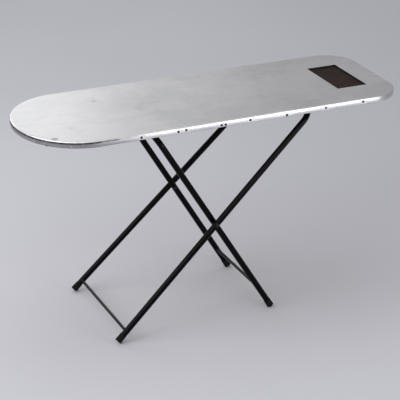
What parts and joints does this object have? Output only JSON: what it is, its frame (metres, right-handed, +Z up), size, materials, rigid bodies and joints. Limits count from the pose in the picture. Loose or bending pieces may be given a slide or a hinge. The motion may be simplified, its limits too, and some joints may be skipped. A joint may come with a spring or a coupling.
{
  "type": "folding ironing board",
  "caption": "Full-size folding ironing board: aluminium-clad wooden board with a round nose and a sunk iron rest, on two crossed black tubular leg frames.",
  "frame": {"origin": "on the floor, under the middle of the board's plan rectangle", "axes": "+X along the board from the round nose to the square end with the iron rest, +Y across the board to the back, +Z up"},
  "size_m": [1.2, 0.427, 0.68],
  "materials": {
    "aluminium_sheet": "satin rolled sheet, scuffed and cloudy",
    "nail_steel": "dull, darkened with age",
    "pine": "bare, glued-up boards",
    "batten_wood": "bare hardwood",
    "rest_board": "dark brown heat-proof board, dull",
    "tray_enamel": "dark enamel, dull",
    "black_enamel": "gloss black enamel",
    "black_rubber": "matt",
    "bolt_black": "black enamel over steel",
    "zinc_steel": "dull zinc plate"
  },
  "bodies": {
    "board": {"top_skin": "aluminium_sheet", "edge_band_nose": "aluminium_sheet", "edge_band_square_end": "aluminium_sheet", "edge_nails": "nail_steel", "board_core": "pine", "iron_rest_tray": "tray_enamel", "iron_rest_pad": "rest_board", "hinge_batten": "batten_wood", "middle_batten": "batten_wood", "end_batten": "batten_wood", "batten_screws": "zinc_steel", "saddle_screws": "zinc_steel", "strap_screws": "zinc_steel", "seat_screws": "zinc_steel", "saddle_front": "zinc_steel", "guide_strap_front": "zinc_steel", "bar_seat_front": "batten_wood", "saddle_back": "zinc_steel", "guide_strap_back": "zinc_steel", "bar_seat_back": "batten_wood"},
    "outer_legs": {"outer_leg_frame": "black_enamel", "outer_foot_rod": "black_enamel", "outer_ferrule_front": "black_rubber", "outer_ferrule_back": "black_rubber", "pivot_bolt_front": "bolt_black", "pivot_bolt_back": "bolt_black", "pivot_spacer_front": "bolt_black", "pivot_spacer_back": "bolt_black", "pivot_washer_front": "zinc_steel", "pivot_washer_back": "zinc_steel", "pivot_nut_front": "zinc_steel", "pivot_nut_back": "zinc_steel"},
    "inner_legs": {"inner_leg_frame": "black_enamel", "inner_foot_rod": "black_enamel", "inner_ferrule_front": "black_rubber", "inner_ferrule_back": "black_rubber"}
  },
  "joints": [
    {"name": "outer_leg_hinge", "type": "hinge", "parent": "board", "child": "outer_legs", "pos_m": [0.303, 0, 0.6426], "axis": [0, 1, 0], "range_deg": [0, 40.5]},
    {"name": "leg_crossing_pivot", "type": "hinge", "parent": "outer_legs", "child": "inner_legs", "pos_m": [-0.02513, 0, 0.32903], "axis": [0, -1, 0], "range_deg": [0, 95.4]}
  ],
  "couplings": [
    {"joint": "leg_crossing_pivot", "follows": "outer_leg_hinge", "ratio": 2.3543}
  ]
}
